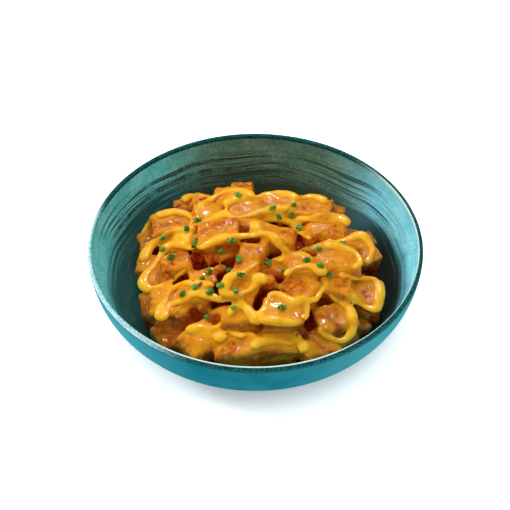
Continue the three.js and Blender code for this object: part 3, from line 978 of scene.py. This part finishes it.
# %% [markdown]
# ## The glaze
# The glaze was brushed on while the bowl turned, so its marks are long thin rings with a slight
# waver. A drawn picture of them would have to be wrapped on the wall. A noise pattern that is
# stretched round the axis gives such rings at any size: it reads the direction from the axis, and,
# far more finely, the distance travelled up the wall.

# %% Directions and patterns on the bowl
glaze = Finish("brushed_glaze", Roughness=0.5, **{"Specular IOR Level": 0.0})
side, back, level = glaze.add("SeparateXYZ", {0: glaze.place})
distance = glaze.maths("MAXIMUM", glaze.length(glaze.vector(side, back)), 0.001)
to_right = glaze.maths("DIVIDE", side, distance)
to_back = glaze.maths("DIVIDE", back, distance)
up_wall = glaze.maths("ADD", distance, level)


def stretched_round(per_metre, turns, wander=0.0):
    """A place for a pattern that is fine up the wall and long round it."""
    height = glaze.maths("ADD", up_wall, wander)
    return glaze.vector(
        glaze.product(to_right, turns),
        glaze.product(to_back, turns),
        glaze.product(height, per_metre),
    )


waver = glaze.centred(glaze.speckle(1, detail=1, place=stretched_round(12, 1.6)), 14 * MM)
rings = glaze.speckle(1, detail=2, roughness=0.6, place=stretched_round(230, 0.8, waver))
fine = glaze.speckle(1.1 * MM, detail=2, roughness=0.7)
cloud = glaze.speckle(16 * MM, detail=3)
slowly = glaze.spread(cloud, 0.35, 0.65)
print("glaze patterns take", len(glaze.nodes), "nodes")

# %% [markdown]
# Inside, the wall is teal with fine speckles, and olive at the far side, where the glaze is thin.
# On the right it is painted lighter and bluer, a painted sheen where the light from the left
# falls. Towards the floor and the food it darkens, which is painted shade. The dark olive rings
# lie in a bundle under a plain band at the rim. They are strongest behind, and fade in front and
# on the right. Low on the right, next to the food, the wall turns brown-black.

# %% Colours of the inner wall
behind = glaze.maths("ADD", to_back, glaze.product(to_right, 0.12))
behind = glaze.spread(behind, 0.66, 0.97)
teal = glaze.mix(slowly, srgb(104, 216, 214), srgb(134, 236, 234))
# Painted sheen: lighter and bluer on the right, where the light from the left falls.
painted_sheen_teal = glaze.mix(slowly, srgb(128, 222, 240), srgb(154, 238, 252))
teal = glaze.mix(glaze.spread(to_right, 0.2, 0.8), teal, painted_sheen_teal)
olive = glaze.mix(slowly, srgb(98, 120, 84), srgb(122, 138, 98))
uneven = glaze.centred(rings, glaze.spread(to_back, -0.1, 0.4, 0.03, 0.14))
# Painted shade: the wall darkens towards the floor, where the food sits.
low_shade_share = glaze.spread(glaze.maths("ADD", up_wall, uneven), 0.132, 0.106, 0, 0.9)
low_shade_colour = glaze.mix(behind, srgb(36, 64, 58), srgb(54, 60, 40))
ring_share = glaze.product(
    glaze.spread(rings, 0.5, 0.57),
    glaze.spread(up_wall, 0.143, 0.136),
    glaze.spread(cloud, 0.3, 0.55, 0.4, 0.9),
    glaze.spread(to_right, 0.5, 0.9, 1, 0.4),
    glaze.spread(to_back, 0.05, 0.4, 0.12, 1),
    glaze.spread(fine, 0.35, 0.5, 0.75, 1),
)
# Darker low on the right, next to the food.
dark_low_right = glaze.product(
    glaze.spread(glaze.maths("ADD", up_wall, waver), 0.119, 0.110),
    glaze.spread(to_right, 0.82, 0.97, 0, 0.9),
)
inside = glaze.layered(
    teal,
    (glaze.product(behind, 0.9), olive),
    (glaze.spread(fine, 0.5, 0.68, 0, 0.5), srgb(40, 96, 92)),
    (glaze.spread(fine, 0.44, 0.32, 0, 0.35), srgb(176, 230, 230)),
    (low_shade_share, low_shade_colour),
    (ring_share, srgb(52, 46, 28)),
    (dark_low_right, srgb(36, 32, 20)),
)
print("with the inner wall", len(glaze.nodes), "nodes")

# %% [markdown]
# The outside is an even blue-green, with painted light that makes it lighter at its left and
# right ends. A ragged dark band runs under the lip, and the lip itself is dark and speckled. Along
# the lip's two edges highlights are painted: a pale line along the inner edge on the right and in
# front, and pale blotches along the outer edge on the left.

# %% Colours of the outside and the lip
grain = glaze.spread(fine, 0.42, 0.58)
dark_edge = glaze.mix(grain, srgb(12, 50, 50), srgb(40, 104, 102))
ragged = glaze.maths("ADD", level, glaze.centred(fine, 3 * MM))
outside = glaze.layered(
    glaze.mix(glaze.spread(cloud, 0.3, 0.7), srgb(24, 112, 126), srgb(34, 124, 138)),
    # Painted light: the outside is lighter towards its right and left ends.
    (glaze.spread(to_right, 0.1, 0.8), srgb(66, 150, 160)),
    (glaze.spread(to_right, -0.3, -0.85), srgb(64, 146, 160)),
    (glaze.spread(ragged, 0.0482, 0.0490, 0, 0.85), dark_edge),
)
lip_level = glaze.maths("ADD", level, glaze.spread(to_back, -0.1, 0.5, 0, 1.4 * MM))
on_lip = glaze.spread(lip_level, 0.0508, 0.0511)
left = glaze.product(glaze.spread(to_right, -0.35, -0.75), glaze.spread(to_back, 0.4, 0.15))
speckled = glaze.maths("MAXIMUM", glaze.maths("SUBTRACT", 1.0, left), grain)
to_front = glaze.spread(to_back, -0.2, -0.7)
right_or_front = glaze.maths("MAXIMUM", glaze.spread(to_right, 0.1, 0.5), to_front)
# Painted highlights: a pale line on the lip's inner edge, right and front, and pale blotches on its
# outer edge, left.
line_place = glaze.maths("ADD", distance, glaze.spread(to_right, 0.3, 0.8, 0, 1.1 * MM))
painted_highlight_line = glaze.product(
    right_or_front,
    glaze.spread(to_back, 0.8, 0.5),
    glaze.spread(to_right, -0.8, -0.5),
    glaze.spread(line_place, 0.1040, 0.1034),
    on_lip,
)
painted_highlight_blotches = glaze.product(
    glaze.spread(distance, 0.1028, 0.1034), glaze.spread(level, 0.0492, 0.0500), left
)
highlight_blotch_colour = glaze.mix(glaze.spread(fine, 0.35, 0.6), srgb(112, 176, 184), srgb(206, 236, 240))
body = glaze.layered(
    outside,
    (glaze.mark("inside"), inside),
    (glaze.product(on_lip, speckled), dark_edge),
    (painted_highlight_line, srgb(206, 238, 232)),
    (painted_highlight_blotches, highlight_blotch_colour),
)
glaze_bump = glaze.bump(fine, 0.12 * MM, 0.5)
glaze_bump = glaze.bump(rings, 0.5 * MM, 0.35, glaze_bump)
glaze.done(bowl, body, glaze.spread(fine, 0.3, 0.7, 0.3, 0.48), glaze_bump)

# %% [markdown]
# ## The potato
# Fried potato under a spiced sauce runs from pale gold to orange-brown in soft clouds. Its sides
# are redder than its tops, partly from sauce that ran down and partly as painted shade. The brown
# under its edges and round the outside of the mound is painted shade, and the dark red of its gaps
# is sauce darkened by painted shade. A yellow film lies next to the cheese. It could have one flat
# orange, but the marks put each of these where it belongs. It is wet: a clear coat has small
# bumps of its own, which break the light into sparkles.

# %% Colour the potato
crust = Finish("spiced_potato", **{
    "Subsurface Weight": 0.12, "Subsurface Radius": (1.0, 0.4, 0.08), "Subsurface Scale": 2 * MM,
    "Specular IOR Level": 0.06, "Coat Weight": 0.55, "Coat Roughness": 0.05,
})
patch = crust.speckle(9 * MM, detail=2)
small_patch = crust.speckle(4 * MM, detail=2, roughness=0.5)
grain = crust.speckle(0.9 * MM, detail=2, roughness=0.6)
reddish = crust.spread(crust.speckle(15 * MM, detail=1), 0.4, 0.6, 0.25, 0.85)
# Colours of painted shade: brown down a side, dark red in the gaps.
drop_shade_brown = crust.mix(crust.spread(small_patch, 0.4, 0.6), srgb(112, 34, 5), srgb(154, 66, 12))
gap_shade_red = crust.mix(crust.spread(small_patch, 0.4, 0.6), srgb(96, 14, 4), srgb(160, 44, 9))
film = crust.maths("ADD", crust.mark("film"), crust.spread(patch, 0.3, 0.7, -0.2, 0.2))
flesh = crust.layered(
    crust.mix(crust.spread(patch, 0.38, 0.62), srgb(184, 92, 15), srgb(220, 138, 30)),
    (crust.spread(small_patch, 0.5, 0.66, 0, 0.6), srgb(200, 80, 12)),
    # Redder sides, partly sauce that ran down and partly painted shade.
    (crust.product(crust.mark("steep"), reddish), srgb(190, 76, 12)),
    # Painted shade, low down and round the outside of the mound.
    (crust.product(crust.mark("foot"), 0.85), srgb(142, 74, 20)),
    (crust.spread(small_patch, 0.5, 0.34, 0, 0.55), srgb(232, 160, 44)),
    (crust.product(crust.spread(film, 0.25, 0.85), 0.85), srgb(226, 146, 26)),
    # Painted shade, browner down a side from its edge.
    (crust.product(crust.mark("drop"), crust.spread(patch, 0.3, 0.6, 0.75, 1.0)), drop_shade_brown),
    (crust.spread(grain, 0.45, 0.75, 0, 0.3), srgb(160, 70, 10)),
    # Painted shade in narrow creases and wide hollows, dark red with the sauce in them.
    (crust.product(crust.mark("crease"), 0.75), srgb(158, 48, 9)),
    (crust.spread(crust.mark("hollow"), 0.15, 0.8, 0, 0.92), gap_shade_red),
)
beads = crust.bump(crust.speckle(2.6 * MM, detail=1.5), 0.6 * MM, 0.8)
wet = crust.bump(grain, 0.15 * MM, 0.7, beads)
crust.links.new(beads, crust.shader.inputs["Coat Normal"])
crust.done(potato, flesh, crust.spread(small_patch, 0.3, 0.7, 0.3, 0.55), wet)

# %% [markdown]
# ## Cheese, chives and crumbs
# The cheese is smooth, thick and bright, and light sinks into it a little. Where it thins out at
# its edges the sauce under it shows, so it turns orange there. Chives are bright green, darker and
# lighter in patches. The crumbs are a dull orange-red.

# %% Colour the sauce and the toppings
sauce = Finish("cheese", **{
    "Subsurface Weight": 0.15, "Subsurface Radius": (1.0, 0.6, 0.06), "Subsurface Scale": 2.5 * MM,
    "Roughness": 0.38, "Specular IOR Level": 0.2, "Coat Weight": 0.4, "Coat Roughness": 0.12,
})
thin = sauce.spread(sauce.mark("thin"), 0.1, 0.9)
tone = sauce.spread(sauce.speckle(8 * MM), 0.35, 0.65)
thick_colour = sauce.mix(tone, srgb(240, 170, 24), srgb(248, 188, 42))
sauce_colour = sauce.mix(sauce.product(thin, 0.8), thick_colour, srgb(222, 134, 18))
ripple = sauce.bump(sauce.speckle(2.5 * MM, detail=2), 0.2 * MM, 0.3)
sauce.done(cheese, sauce_colour, normal=ripple)

leaf = Finish("chive_green", **{"Subsurface Weight": 0.1, "Subsurface Scale": MM})
leaf_tone = leaf.spread(leaf.speckle(5 * MM), 0.4, 0.6)
leaf_colour = leaf.mix(leaf_tone, srgb(62, 128, 44), srgb(132, 186, 84))
leaf.done(chives, leaf_colour, leaf.spread(leaf.speckle(MM), 0.3, 0.7, 0.3, 0.5))

spice = Finish("spice_red", Roughness=0.35)
spice_tone = spice.spread(spice.speckle(3 * MM), 0.4, 0.6)
spice_colour = spice.mix(spice_tone, srgb(196, 72, 14), srgb(226, 122, 34))
spice.done(crumbs, spice_colour, spice.spread(spice.speckle(MM), 0.3, 0.7, 0.3, 0.5))

# %% [markdown]
# ## The table
# The dish stands on a white table that runs out of the picture. Lamps alone would leave it grey,
# so it glows a little by itself. Round the foot of the bowl, where a real table lies in shadow,
# it glows less.

# %% The table
TABLE_DROP, SHADOW_FROM, SHADOW_TO, SHADOW_GLOW = 0.0002, 0.078, 0.102, 0.35
BLACK, WHITE = (0, 0, 0, 1), (1, 1, 1, 1)
bpy.ops.object.select_all(action="DESELECT")
bpy.ops.mesh.primitive_plane_add(size=8)
table = bpy.context.object
table.name = "white_table"
table.data.transform(Matrix.Translation((0, 0, -TABLE_DROP)))
paper = Finish("white_paper", Roughness=0.9, **{"Emission Strength": 0.7})
glow = paper.spread(paper.length(paper.place), SHADOW_FROM, SHADOW_TO, SHADOW_GLOW, 1)
paper.links.new(paper.mix(glow, BLACK, WHITE), paper.shader.inputs["Emission Color"])
paper_tone = paper.spread(paper.speckle(60 * MM), 0.3, 0.7)
paper.done(table, paper.mix(paper_tone, (0.86, 0.86, 0.86, 1), (0.88, 0.88, 0.88, 1)))

# %% [markdown]
# ## Light
# The key light is a soft box low on the left. One above and a little behind brightens the tops,
# and weaker ones on the right and in front fill the shadows. Large lamps mirrored in a wet coat
# would lay a haze over the food, so they light it without being mirrored. Only the two small
# lamps behind are, and they give the sparkles.


# %% Soft boxes
def soft_box(name, place, size, power, mirrored=False, aim=(0, 0, 0.03)):
    light = bpy.data.lights.new(name, "AREA")
    light.shape = "RECTANGLE"
    light.size, light.size_y = size
    light.energy = power
    lamp = bpy.data.objects.new(name, light)
    bpy.context.collection.objects.link(lamp)
    lamp.visible_glossy = mirrored
    lamp.location = place
    lamp.rotation_euler = (Vector(aim) - Vector(place)).to_track_quat("-Z", "Y").to_euler()


soft_box("key_box", (-1.05, 0.25, 0.55), (0.35, 0.3), 8.5)
soft_box("right_box", (1.0, -0.35, 0.5), (0.5, 0.6), 3.5)
soft_box("top_box", (-0.1, 0.5, 1.3), (0.7, 0.5), 5.4)
soft_box("sparkle_box", (0.15, 1.0, 1.05), (0.11, 0.11), 4.5, mirrored=True)
soft_box("glint_box", (-0.55, 0.85, 0.95), (0.1, 0.1), 2.5, mirrored=True)
soft_box("front_box", (-0.2, -1.0, 0.95), (0.7, 0.4), 3.6)
world = bpy.data.worlds.new("studio")
world.use_nodes = True
background = world.node_tree.nodes["Background"]
background.inputs["Color"].default_value = WHITE
background.inputs["Strength"].default_value = 0.17
world.cycles_visibility.glossy = False
bpy.context.scene.world = world
bpy.context.scene.view_settings.view_transform = "Standard"
print(len(bpy.data.lights), "lamps")

# %% [markdown]
# ## Camera
# The rim is a circle, and the picture shows it as an ellipse about 0.7 times as high as it is
# wide, so the camera looks down at 45 degrees. It stands far off with a long lens, which draws
# the near and the far rim almost equally large.

# %% The camera
TILT = math.radians(45.04)
FAR, LENS, SENSOR = 1.1, 124.8, 36
look = Vector((0, math.cos(TILT), -math.sin(TILT)))
target = Vector((-0.00025, -0.01043, 0.052))
lens = bpy.data.cameras.new("camera")
lens.sensor_width = SENSOR
lens.lens = LENS
camera = bpy.data.objects.new("camera", lens)
bpy.context.collection.objects.link(camera)
camera.location = target - look * FAR
camera.rotation_euler = look.to_track_quat("-Z", "Y").to_euler()
bpy.context.scene.camera = camera
